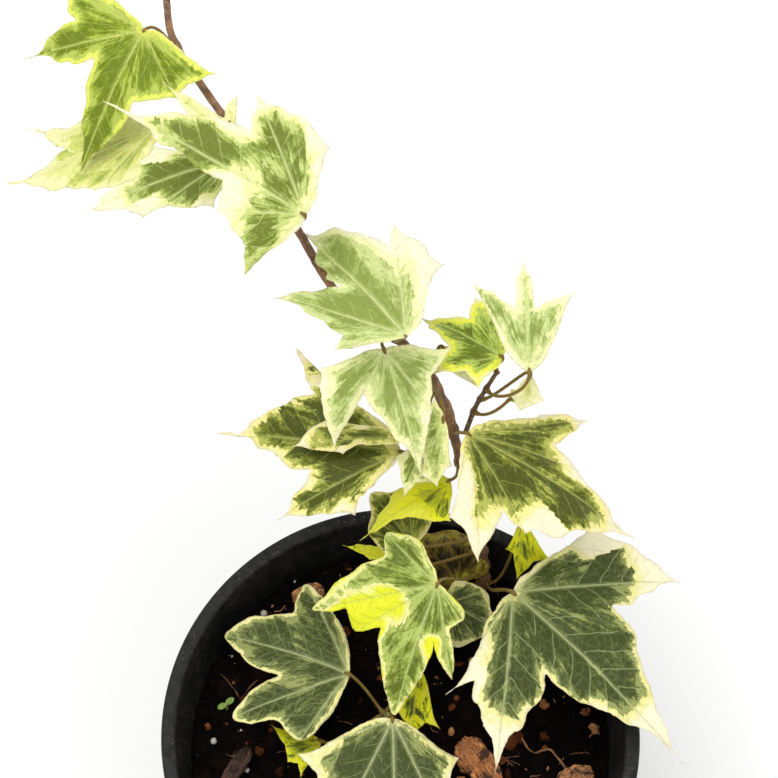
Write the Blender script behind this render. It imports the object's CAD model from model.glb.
"""The looks of the potted ivy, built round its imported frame.

Lengths in the tables are millimetres and angles are degrees, all in the frame's own axes: the
pot stands on the floor with its axis at the origin, and the long stem trails to -X and +Y.
Colours are written as display values from 0 to 255 and turned into linear light in code.
"""

import logging
from dataclasses import dataclass, field
from enum import Enum
from math import cos, floor, radians, sin, tau
from typing import Iterable, Sequence, Union

import bpy
import numpy as np
from mathutils import Euler, Matrix, Vector, noise
from mathutils.geometry import delaunay_2d_cdt


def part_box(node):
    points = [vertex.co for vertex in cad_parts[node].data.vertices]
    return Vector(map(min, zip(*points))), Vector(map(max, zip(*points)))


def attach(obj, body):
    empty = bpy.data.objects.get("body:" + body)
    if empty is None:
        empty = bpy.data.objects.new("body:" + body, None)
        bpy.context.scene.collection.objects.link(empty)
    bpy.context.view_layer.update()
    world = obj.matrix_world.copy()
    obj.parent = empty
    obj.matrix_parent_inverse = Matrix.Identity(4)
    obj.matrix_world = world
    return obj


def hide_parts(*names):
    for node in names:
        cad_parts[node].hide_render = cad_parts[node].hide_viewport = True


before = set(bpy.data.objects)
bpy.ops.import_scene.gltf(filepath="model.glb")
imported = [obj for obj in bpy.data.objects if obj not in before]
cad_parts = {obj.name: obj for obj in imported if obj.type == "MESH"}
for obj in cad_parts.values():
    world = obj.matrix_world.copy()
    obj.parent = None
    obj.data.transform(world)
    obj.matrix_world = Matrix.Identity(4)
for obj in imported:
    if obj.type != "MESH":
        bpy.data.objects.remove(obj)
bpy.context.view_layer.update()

log = logging.getLogger("potted_ivy")

Colour = tuple[float, float, float]
Point = tuple[float, float, float]
Polar = tuple[float, float]
Faces = Sequence[Sequence[int]]
Surface = tuple[np.ndarray, Faces, np.ndarray]  # vertices, faces, and a value for each vertex
Socket = bpy.types.NodeSocket
Input = Union[Socket, float, Point]  # what can feed a socket

BODY = "root"
POT_RIM_MM = 60.0  # the radius of the pot in the tables' millimetres
JOINT_FALL = 2.718  # the base of the curve by which a stem's joints die away


def tone(red: float, green: float, blue: float) -> Colour:
    """A display colour as linear light.

    Args:
        red: its red, 0 to 255.
        green: its green.
        blue: its blue.

    Returns:
        The three channels, 0 to 1.
    """
    def linear(value: float) -> float:
        """One channel, 0 to 1."""
        share = value / 255
        return share / 12.92 if share <= 0.04045 else ((share + 0.055) / 1.055) ** 2.4
    return (linear(red), linear(green), linear(blue))


class Frame:
    """Turns the tables' millimetres into places in the frame, from the box of the CAD pot."""

    def __init__(self) -> None:
        """Reads the pot's box: its middle at the base is the tables' origin."""
        low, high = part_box("pot")
        self.origin = Vector(((low.x + high.x) / 2, (low.y + high.y) / 2, low.z))
        self.unit = (high.x - low.x) / (2 * POT_RIM_MM)

    def vertices(self, points: np.ndarray) -> np.ndarray:
        """Table points, one a row, as metres in the frame."""
        return points * self.unit + np.array(self.origin)


# Node trees


class Tree:
    """A material under construction, with one method for each kind of node that it uses."""

    def __init__(self, name: str) -> None:
        """Starts a material whose only shader is a Principled BSDF.

        Args:
            name: the material's name.
        """
        self.material = bpy.data.materials.new(name)
        self.material.use_nodes = True
        self.nodes = self.material.node_tree.nodes
        self.links = self.material.node_tree.links
        self.shader = self.nodes["Principled BSDF"]

    def put(self, socket: Socket, value: Input) -> None:
        """Links value to a socket if it is one too, or else sets it there.

        Args:
            socket: the socket that is fed.
            value: what feeds it.
        """
        if isinstance(value, bpy.types.NodeSocket):
            self.links.new(value, socket)
        elif isinstance(value, tuple) and len(value) == 3 and len(socket.default_value) == 4:
            socket.default_value = (*value, 1.0)
        else:
            socket.default_value = value

    def set(self, **values: Input) -> None:
        """Sets the shader's sockets; an underscore stands for a space in a socket's name."""
        for name, value in values.items():
            self.put(self.shader.inputs[name.replace("_", " ")], value)

    def node(self, kind: str, inputs: dict[Union[str, int], Input], **settings: str) -> bpy.types.Node:
        """Adds a node.

        Args:
            kind: its type, without the word ShaderNode.
            inputs: what feeds its sockets, by their names or numbers.
            settings: its own options.

        Returns:
            The node.
        """
        node = self.nodes.new("ShaderNode" + kind)
        for name, value in settings.items():
            setattr(node, name, value)
        for name, value in inputs.items():
            self.put(node.inputs[name], value)
        return node

    def attribute(self, name: str, vector: bool = False) -> Socket:
        """A value that is stored on the piece's own vertices."""
        return self.node("Attribute", {}, attribute_name=name).outputs["Vector" if vector else "Fac"]

    def place(self) -> Socket:
        """Object coordinates in metres."""
        return self.node("TexCoord", {}).outputs["Object"]

    def scaled(self, vector: Socket, scale: Point) -> Socket:
        """A vector stretched along its axes."""
        return self.node("Mapping", {"Vector": vector, "Scale": scale}).outputs["Vector"]

    def noise(self, vector: Socket, scale: float, detail: float = 2.0, rough: float = 0.5,
              colour: bool = False) -> Socket:
        """Cloudy noise from 0 to 1 round a half, or three of them as a colour."""
        inputs = {"Vector": vector, "Scale": scale, "Detail": detail, "Roughness": rough}
        return self.node("TexNoise", inputs).outputs["Color" if colour else "Fac"]

    def cells(self, vector: Socket, scale: float, feature: str = "F1") -> Socket:
        """The distance from a Voronoi pattern's points, or from its edges."""
        node = self.node("TexVoronoi", {"Vector": vector, "Scale": scale}, feature=feature)
        return node.outputs["Distance"]

    def math(self, operation: str, *terms: Input) -> Socket:
        """One arithmetic step."""
        return self.node("Math", dict(enumerate(terms)), operation=operation).outputs[0]

    def add_vector(self, first: Input, second: Input) -> Socket:
        """The sum of two vectors."""
        return self.node("VectorMath", {0: first, 1: second}, operation="ADD").outputs[0]

    def within(self, value: Input, low: float, high: float, to_low: float = 0.0,
               to_high: float = 1.0) -> Socket:
        """Maps low..high smoothly to to_low..to_high, and holds the ends beyond."""
        inputs = {"Value": value, "From Min": low, "From Max": high, "To Min": to_low, "To Max": to_high}
        return self.node("MapRange", inputs, interpolation_type="SMOOTHSTEP").outputs["Result"]

    def mix(self, share: Input, first: Input, second: Input) -> Socket:
        """Two colours mixed; share is how much of the second."""
        return self.node("Mix", {"Factor": share, 6: first, 7: second}, data_type="RGBA").outputs[2]

    def ramp(self, value: Socket, stops: Sequence[tuple[float, Colour]]) -> Socket:
        """A colour ramp.

        Args:
            value: where on the ramp a point is.
            stops: the places, from 0 to 1, and their colours.

        Returns:
            The colour.
        """
        node = self.node("ValToRGB", {"Fac": value})
        elements = node.color_ramp.elements
        while len(elements) < len(stops):
            elements.new(0.5)
        for element, (position, colour) in zip(elements, stops):
            element.position = position
            element.color = (*colour, 1.0)
        return node.outputs["Color"]

    def bump(self, height: Socket, distance: float, strength: float = 1.0) -> None:
        """Makes the shader's normal follow a height; distance is in metres."""
        node = self.node("Bump", {"Height": height, "Distance": distance, "Strength": strength})
        self.links.new(node.outputs["Normal"], self.shader.inputs["Normal"])


# Finishes


@dataclass(frozen=True)
class Palette:
    """The colours of one kind of blade, from its heart out to its margin."""

    dark: Colour
    mid: Colour
    pale: Colour
    light: Colour
    rim: Colour
    vein: Colour


class Tint(Enum):
    """The kinds of blade on this plant."""

    GREY = Palette(tone(62, 71, 26), tone(96, 106, 50), tone(150, 158, 92), tone(238, 232, 152),
                   tone(253, 244, 207), tone(176, 184, 128))
    DEEP = Palette(tone(70, 78, 10), tone(118, 126, 40), tone(178, 182, 86), tone(244, 234, 146),
                   tone(253, 241, 204), tone(168, 174, 92))
    SAGE = Palette(tone(138, 152, 68), tone(172, 188, 106), tone(206, 217, 144), tone(240, 240, 176),
                   tone(253, 248, 212), tone(212, 220, 150))
    BRIGHT = Palette(tone(96, 108, 16), tone(146, 166, 60), tone(188, 206, 96), tone(236, 238, 66),
                     tone(247, 240, 186), tone(188, 204, 108))
    LIMY = Palette(tone(92, 106, 24), tone(138, 154, 60), tone(180, 196, 102), tone(242, 238, 160),
                   tone(232, 236, 44), tone(190, 204, 122))
    MOSS = Palette(tone(108, 120, 34), tone(150, 166, 76), tone(196, 208, 124), tone(236, 236, 160),
                   tone(252, 247, 206), tone(208, 218, 142))
    OLIVE = Palette(tone(108, 124, 14), tone(146, 164, 44), tone(182, 198, 88), tone(226, 234, 96),
                    tone(246, 242, 160), tone(196, 208, 110))
    YELLOW = Palette(tone(70, 78, 8), tone(140, 152, 22), tone(206, 210, 34), tone(240, 240, 22),
                     tone(242, 240, 70), tone(206, 208, 80))
    CREAM = Palette(tone(156, 172, 80), tone(204, 211, 110), tone(229, 230, 146), tone(242, 240, 178),
                    tone(254, 247, 212), tone(236, 234, 160))
    WITHERED = Palette(tone(36, 28, 10), tone(80, 66, 16), tone(122, 104, 30), tone(166, 152, 50),
                       tone(112, 72, 36), tone(128, 108, 50))


@dataclass(frozen=True)
class BladeFinish:
    """How a blade is coloured. The border between green and cream runs margin mm inside the
    edge and wanders by jag steps of tone; grade is the width of one step. heart is the share of
    each lobe that is green, from the stalk out, and specks how strong its brown dots are. A spot
    is (angle, distance, radius, steps): it makes the blade greener there, or paler if steps is
    negative."""

    tint: Tint
    margin: float = 2.0
    grade: float = 1.6
    jag: float = 2.4
    net: float = 0.25
    heart: float = 0.85
    specks: float = 0.0
    spots: tuple[tuple[float, float, float, float], ...] = ()

    @staticmethod
    def shifted(tree: Tree, level: Socket, pattern: Socket, steps: float) -> Socket:
        """A level moved up and down by a pattern from 0 to 1, over the given steps in all."""
        return tree.math("MULTIPLY_ADD", tree.math("SUBTRACT", pattern, 0.5), steps, level)

    @staticmethod
    def panel(tree: Tree, rib: Socket) -> Socket:
        """A random number for each strip between two side veins, another on each side of a lobe.

        Args:
            tree: the material under construction.
            rib: the number of the strip, with its part.

        Returns:
            The result.
        """
        pair = {0: tree.math("FLOOR", rib), 1: tree.math("SIGN", tree.attribute("turned"))}
        strip = tree.node("CombineXYZ", pair).outputs[0]
        return tree.node("TexWhiteNoise", {"Vector": strip}, noise_dimensions="2D").outputs["Value"]

    def material(self, name: str, seed: int) -> bpy.types.Material:
        """The blade's material, which also dresses the stalk.

        Args:
            name: the material's name.
            seed: moves the patterns, so that no two leaves share them.

        Returns:
            The material.
        """
        colours = self.tint.value
        tree = Tree(name)
        plane = tree.add_vector(tree.attribute("plane", True), (seed * 37.0, seed * 11.0, seed * 5.0))
        wander = tree.noise(plane, 0.45, 2.0, 0.6, colour=True)
        warped = tree.add_vector(plane, tree.scaled(wander, (2.4, 2.4, 2.4)))
        flow = tree.add_vector(tree.attribute("flow", True), tree.scaled(wander, (2.0, 2.0, 2.0)))
        rays = tree.scaled(flow, (0.6, 0.2, 1.0))
        streak = tree.noise(tree.add_vector(rays, (seed * 13.0, 0.0, 0.0)), 0.8, 3.0, 0.7)
        edges = tree.cells(warped, 0.42, "DISTANCE_TO_EDGE")
        clouds = tree.noise(plane, 0.12, 3.0, 0.6)

        rib = self.shifted(tree, tree.attribute("rib"), clouds, 0.5)
        panel = self.panel(tree, rib)
        jags = tree.add_vector(tree.attribute("teeth", True), (seed * 3.0, 0.0, 0.0))
        teeth = tree.noise(jags, 0.75, 3.0, 0.7)
        level = tree.attribute("level")
        for pattern, steps in ((panel, 0.8), (teeth, 2.2), (clouds, 1.5), (streak, 0.9)):
            level = self.shifted(tree, level, pattern, steps * self.jag)
        green = tree.within(level, -0.08, 0.10)
        light = tree.mix(tree.within(level, -2.2, -0.2), colours.rim, colours.light)
        depth = tree.math("MULTIPLY_ADD", tree.math("MINIMUM", level, 4.0), 0.24, 0.14)
        for pattern, steps in ((streak, 2.0), (clouds, 1.0), (panel, 0.2)):
            depth = self.shifted(tree, depth, pattern, steps)
        leafy = tree.ramp(tree.within(depth, 0.0, 1.0), (
            (0.0, colours.pale), (0.24, colours.pale), (0.34, colours.mid), (0.52, colours.mid),
            (0.82, colours.dark), (1.0, colours.dark)))

        vein = tree.attribute("vein")
        main = tree.math("MAXIMUM", tree.within(vein, 0.2, 1.0, 1.0, 0.0),
                         tree.within(vein, 0.6, 2.6, 0.4, 0.0))
        off = tree.math("ABSOLUTE", tree.math("SUBTRACT", tree.math("FRACT", rib), 0.5))
        side = tree.math("MULTIPLY", tree.within(off, 0.44, 0.495), tree.attribute("lamina"))
        net = tree.within(edges, 0.0, 0.11, 1.0, 0.0)
        lines = tree.math("MAXIMUM", tree.math("MULTIPLY", main, 0.9),
                          tree.math("MAXIMUM", tree.math("MULTIPLY", side, 0.5),
                                    tree.math("MULTIPLY", net, 0.3 * self.net)))
        leafy = tree.mix(lines, leafy, colours.vein)
        light = tree.mix(tree.math("MULTIPLY", main, 0.5), light, colours.pale)
        colour = tree.mix(green, light, leafy)
        fine = tree.noise(plane, 1.7, 3.0, 0.7)
        shade = tree.within(fine, 0.3, 0.7, 0.0, 0.10)
        if self.specks:
            dots = tree.cells(plane, 0.22)
            colour = tree.mix(tree.within(dots, 0.05, 0.09, self.specks, 0.0), colour,
                              tone(120, 84, 44))
        colour = tree.mix(shade, colour, colours.mid)
        colour = tree.mix(tree.within(tree.attribute("edge"), 0.05, 0.35, 0.14, 0.0), colour,
                          tone(222, 178, 120))
        colour = tree.mix(tree.math("MULTIPLY", tree.attribute("under"), 0.4), colour, tone(182, 188, 130))
        stalk = tree.mix(tree.noise(tree.place(), 700.0, 3.0), tone(134, 126, 52), tone(118, 72, 40))
        on_stalk = tree.attribute("stalk")
        colour = tree.mix(on_stalk, colour, stalk)

        gloss = tree.within(fine, 0.2, 0.8, 0.36, 0.52)
        sunk = tree.math("ADD", tree.math("MULTIPLY", side, 0.7), tree.math("MULTIPLY", net, 0.55))
        height = tree.math("SUBTRACT", tree.math("MULTIPLY", fine, 0.35), sunk)
        tree.set(Base_Color=colour, Roughness=gloss, IOR=1.40, Specular_IOR_Level=0.3, Subsurface_Weight=0.10,
                 Subsurface_Scale=0.0012, Subsurface_Radius=(0.8, 1.0, 0.4))
        tree.bump(height, 0.00022, 0.8)
        return tree.material


@dataclass(frozen=True)
class BarkFinish:
    """Thin bark: brown, ridged along the stem, and greener where it is young."""

    old: Colour = tone(100, 70, 48)
    young: Colour = tone(164, 120, 84)

    def material(self, name: str) -> bpy.types.Material:
        """The bark's material.

        Args:
            name: the material's name.

        Returns:
            The material.
        """
        tree = Tree(name)
        along = tree.attribute("along", True)
        ridges = tree.noise(tree.scaled(along, (1.0, 0.16, 1.0)), 3.2, 4.0, 0.7)
        patches = tree.noise(tree.place(), 210.0, 3.0, 0.6)
        pores = tree.cells(tree.place(), 620.0)
        colour = tree.mix(tree.within(patches, 0.35, 0.65), self.old, self.young)
        colour = tree.mix(tree.within(ridges, 0.4, 0.7, 0.0, 0.55), colour, tone(70, 44, 34))
        colour = tree.mix(tree.within(pores, 0.1, 0.3, 0.5, 0.0), colour, tone(190, 160, 126))
        tree.set(Base_Color=colour, Roughness=tree.within(ridges, 0.3, 0.7, 0.5, 0.75))
        tree.bump(ridges, 0.0003, 0.9)
        return tree.material


@dataclass(frozen=True)
class PlasticFinish:
    """Moulded black plastic with a satin surface, finely grained and dusted with soil."""

    base: Colour = tone(19, 19, 19)
    dust: Colour = tone(96, 92, 86)

    def material(self, name: str) -> bpy.types.Material:
        """The plastic's material.

        Args:
            name: the material's name.

        Returns:
            The material.
        """
        tree = Tree(name)
        place = tree.place()
        grain = tree.noise(place, 2600.0, 3.0, 0.6)
        smudge = tree.noise(place, 55.0, 5.0, 0.65)
        specks = tree.cells(place, 780.0)
        speck = tree.math("MULTIPLY", tree.within(specks, 0.06, 0.17, 1.0, 0.0),
                          tree.within(smudge, 0.42, 0.62))
        scuffs = tree.noise(place, 420.0, 5.0, 0.75)
        scuffed = tree.math("MULTIPLY", tree.within(scuffs, 0.42, 0.68),
                            tree.within(smudge, 0.35, 0.6, 0.15, 0.75))
        colour = tree.mix(tree.math("MULTIPLY", scuffed, 0.26), self.base, self.dust)
        colour = tree.mix(tree.math("MULTIPLY", speck, 0.7), colour, tone(150, 138, 124))
        tree.set(Base_Color=colour, Roughness=tree.within(smudge, 0.3, 0.7, 0.5, 0.72),
                 Specular_IOR_Level=0.26)
        tree.bump(tree.math("ADD", grain, tree.math("MULTIPLY", speck, 2.0)), 0.00006, 0.7)
        return tree.material


@dataclass(frozen=True)
class EarthFinish:
    """Damp potting mix: near-black crumbs, some of them rusty or grey. Each crumb's tint is on
    its own vertices."""

    wet: Colour = tone(9, 6, 5)
    crumb: Colour = tone(30, 18, 12)
    rust: Colour = tone(150, 84, 44)
    flake: Colour = tone(206, 150, 98)

    def material(self, name: str) -> bpy.types.Material:
        """The earth's material.

        Args:
            name: the material's name.

        Returns:
            The material.
        """
        tree = Tree(name)
        place = tree.place()
        grain = tree.noise(place, 900.0, 5.0, 0.75)
        clump = tree.noise(place, 140.0, 4.0, 0.7)
        colour = tree.mix(tree.within(clump, 0.42, 0.75), self.wet, self.crumb)
        colour = tree.mix(tree.within(tree.attribute("tint"), 0.84, 1.0), colour, self.rust)
        colour = tree.mix(tree.within(grain, 0.58, 0.8, 0.0, 0.45), colour, tone(96, 58, 36))
        colour = tree.mix(tree.within(grain, 0.25, 0.48, 0.9, 0.0), colour, tone(5, 4, 3))
        colour = tree.mix(tree.within(tree.attribute("tint"), 0.95, 0.99), colour, self.flake)
        tree.set(Base_Color=colour, Roughness=0.95, Specular_IOR_Level=0.08)
        tree.bump(grain, 0.0006, 1.0)
        return tree.material


@dataclass(frozen=True)
class WoodFinish:
    """Split bark or root: long fibres between two browns."""

    light: Colour = tone(222, 156, 100)
    dark: Colour = tone(60, 32, 16)
    stretch: Point = (1.0, 0.12, 1.0)

    def material(self, name: str) -> bpy.types.Material:
        """The wood's material.

        Args:
            name: the material's name.

        Returns:
            The material.
        """
        tree = Tree(name)
        along = tree.attribute("along", True)
        fibres = tree.noise(tree.scaled(along, self.stretch), 4.0, 6.0, 0.75)
        patches = tree.noise(tree.place(), 260.0, 3.0, 0.6)
        colour = tree.mix(tree.within(fibres, 0.38, 0.6), self.dark, self.light)
        colour = tree.mix(tree.within(patches, 0.52, 0.62, 0.0, 0.85), colour, tone(18, 11, 8))
        tree.set(Base_Color=colour, Roughness=0.85)
        tree.bump(fibres, 0.0005, 1.0)
        return tree.material


@dataclass(frozen=True)
class StoneFinish:
    """Perlite: chalky white grains, full of pits."""

    colour: Colour = tone(206, 202, 192)

    def material(self, name: str) -> bpy.types.Material:
        """The grain's material.

        Args:
            name: the material's name.

        Returns:
            The material.
        """
        tree = Tree(name)
        pits = tree.noise(tree.place(), 1500.0, 4.0, 0.7)
        colour = tree.mix(tree.within(pits, 0.3, 0.6, 0.7, 0.0), self.colour, tone(110, 96, 80))
        tree.set(Base_Color=colour, Roughness=0.9)
        tree.bump(pits, 0.0003, 1.0)
        return tree.material


@dataclass(frozen=True)
class FloorFinish:
    """A plain white studio floor."""

    colour: Colour = tone(252, 252, 252)

    def material(self, name: str) -> bpy.types.Material:
        """The floor's material.

        Args:
            name: the material's name.

        Returns:
            The material.
        """
        tree = Tree(name)
        faint = tree.noise(tree.place(), 3.0, 2.0)
        tree.set(Base_Color=tree.mix(tree.within(faint, 0.3, 0.7), self.colour, tone(248, 248, 247)),
                 Roughness=0.9)
        return tree.material


# Making pieces


def deselect_all() -> None:
    """Leaves no object selected and none being edited."""
    if bpy.context.mode != "OBJECT":
        bpy.ops.object.mode_set(mode="OBJECT")
    bpy.ops.object.select_all(action="DESELECT")


def new_piece(name: str, points: np.ndarray, faces: Faces, place: Frame) -> bpy.types.Object:
    """A mesh piece in the scene, shaded smooth.

    Args:
        name: the piece's name.
        points: its vertices in the tables' millimetres.
        faces: its faces, facing out.
        place: the frame that it is set in.

    Returns:
        The object, at the origin, with its place in its mesh.
    """
    mesh = bpy.data.meshes.new(name)
    mesh.from_pydata(place.vertices(points), [], faces)
    mesh.validate()
    mesh.shade_smooth()
    piece = bpy.data.objects.new(name, mesh)
    bpy.context.scene.collection.objects.link(piece)
    return piece


def store(piece: bpy.types.Object, name: str, values: np.ndarray) -> None:
    """Keeps a number or a vector for each vertex of a piece, for its material to read.

    Args:
        piece: the piece.
        name: the name that the material reads.
        values: one number or one row of three a vertex.
    """
    kind = "FLOAT" if values.ndim == 1 else "FLOAT_VECTOR"
    made = piece.data.attributes.new(name, kind, "POINT")
    made.data.foreach_set("value" if values.ndim == 1 else "vector", values.astype(np.float32).ravel())


def dress(piece: bpy.types.Object, material: bpy.types.Material, slot: str, *nodes: str) -> bpy.types.Object:
    """Gives a piece its material and its slot, and has it stand for CAD nodes.

    Args:
        piece: the piece.
        material: its material.
        slot: the name of its material slot.
        nodes: the CAD nodes that it stands for.

    Returns:
        The piece.
    """
    piece.data.materials.clear()
    piece.data.materials.append(material)
    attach(piece, BODY)
    if nodes:
        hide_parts(*nodes)
    log.info("%s: %d vertices", piece.name, len(piece.data.vertices))
    return piece


def point_on(points: Sequence[Point], along: float) -> Vector:
    """A point on a smooth curve through points.

    Args:
        points: the points.
        along: how far along them it is: 0 at the first, 1 at the second.

    Returns:
        The point.
    """
    last = len(points) - 1
    start = min(floor(along), last - 1)
    part = along - start
    a, b, c, d = (Vector(points[min(max(i, 0), last)]) for i in range(start - 1, start + 3))
    return 0.5 * (2 * b + (c - a) * part + (2 * a - 5 * b + 4 * c - d) * part**2
                  + (3 * b - a - 3 * c + d) * part**3)


def bezier(corners: Sequence[Vector], part: float) -> Vector:
    """A point on a Bezier curve.

    Args:
        corners: the curve's corners.
        part: how far along the curve the point is, 0 to 1.

    Returns:
        The point.
    """
    while len(corners) > 1:
        corners = [a.lerp(b, part) for a, b in zip(corners, corners[1:])]
    return corners[0]


@dataclass
class Rod:
    """A closed round rod along a line: its points in mm, its radius at each, and its sides."""

    line: list[Vector]
    radii: list[float]
    sides: int = 10

    def mesh(self) -> Surface:
        """The rod's surface.

        Returns:
            Its vertices, its faces, and for each vertex its place on the surface in mm: round
            the rod, along it, and its distance from the axis.
        """
        points, along, faces = [], [], []
        across = Vector((0.0, 0.0, 1.0))
        run = (self.line[1] - self.line[0]).normalized()
        if abs(run.dot(across)) > 0.9:
            across = Vector((1.0, 0.0, 0.0))
        gone = 0.0
        count = len(self.line)
        for i, (centre, radius) in enumerate(zip(self.line, self.radii)):
            run = (self.line[min(i + 1, count - 1)] - self.line[max(i - 1, 0)]).normalized()
            across = (across - run * across.dot(run)).normalized()
            other = run.cross(across)
            if i:
                gone += (centre - self.line[i - 1]).length
            for j in range(self.sides):
                turn = tau * j / self.sides
                points.append(centre + (across * cos(turn) + other * sin(turn)) * radius)
                along.append((min(j, self.sides - j) * tau / self.sides * radius, gone, radius))
        for i in range(count - 1):
            for j in range(self.sides):
                a, b = i * self.sides + j, i * self.sides + (j + 1) % self.sides
                faces.append([a, b, b + self.sides, a + self.sides])
        faces.append(list(range(self.sides))[::-1])
        faces.append([(count - 1) * self.sides + j for j in range(self.sides)])
        return np.array(points), faces, np.array(along)


def merged(meshes: Iterable[Surface]) -> Surface:
    """Several surfaces as one.

    Args:
        meshes: the surfaces.

    Returns:
        One surface with all their parts, in order.
    """
    points, faces, values, start = [], [], [], 0
    for some, theirs, worth in meshes:
        points.append(some)
        values.append(worth)
        faces += [[start + i for i in face] for face in theirs]
        start += len(some)
    return np.concatenate(points), faces, np.concatenate(values)


# The stems


@dataclass
class Stem:
    """A length of stem: the points that it passes through, its radius at each end, its joints
    (places along the points where a leaf grew) and how far each joint swells."""

    name: str
    points: list[Point]
    radius: float
    tip_radius: float
    finish: BarkFinish
    slot: str
    joints: list[float] = field(default_factory=list)
    swelling: float = 0.45
    steps: int = 14  # rings between two points
    sides: int = 20

    def build(self, place: Frame) -> bpy.types.Object:
        """Makes the stem, with a swollen ring at each joint and a slightly crooked bark.

        Args:
            place: the frame that it is set in.

        Returns:
            The piece.
        """
        spans = len(self.points) - 1
        count = self.steps * spans
        line, radii = [], []
        for i in range(count + 1):
            where = spans * i / count
            radius = self.radius + (self.tip_radius - self.radius) * i / count
            swell = sum(JOINT_FALL ** (-((where - joint) * 9) ** 2) for joint in self.joints)
            line.append(point_on(self.points, where))
            radii.append(radius * (1 + self.swelling * min(swell, 1.2)))
        points, faces, along = Rod(line, radii, self.sides).mesh()
        centres = np.repeat(np.array(line), self.sides, axis=0)
        for i, point in enumerate(points):
            rough = noise.noise(Vector(point) * 0.9) + 0.5 * noise.noise(Vector(point) * 2.6)
            points[i] = centres[i] + (point - centres[i]) * (1 + 0.11 * rough)
        piece = new_piece(self.name + "_bark", points, faces, place)
        store(piece, "along", along)
        return dress(piece, self.finish.material(self.name + " bark"), self.slot, self.name)


# The leaves


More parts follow.
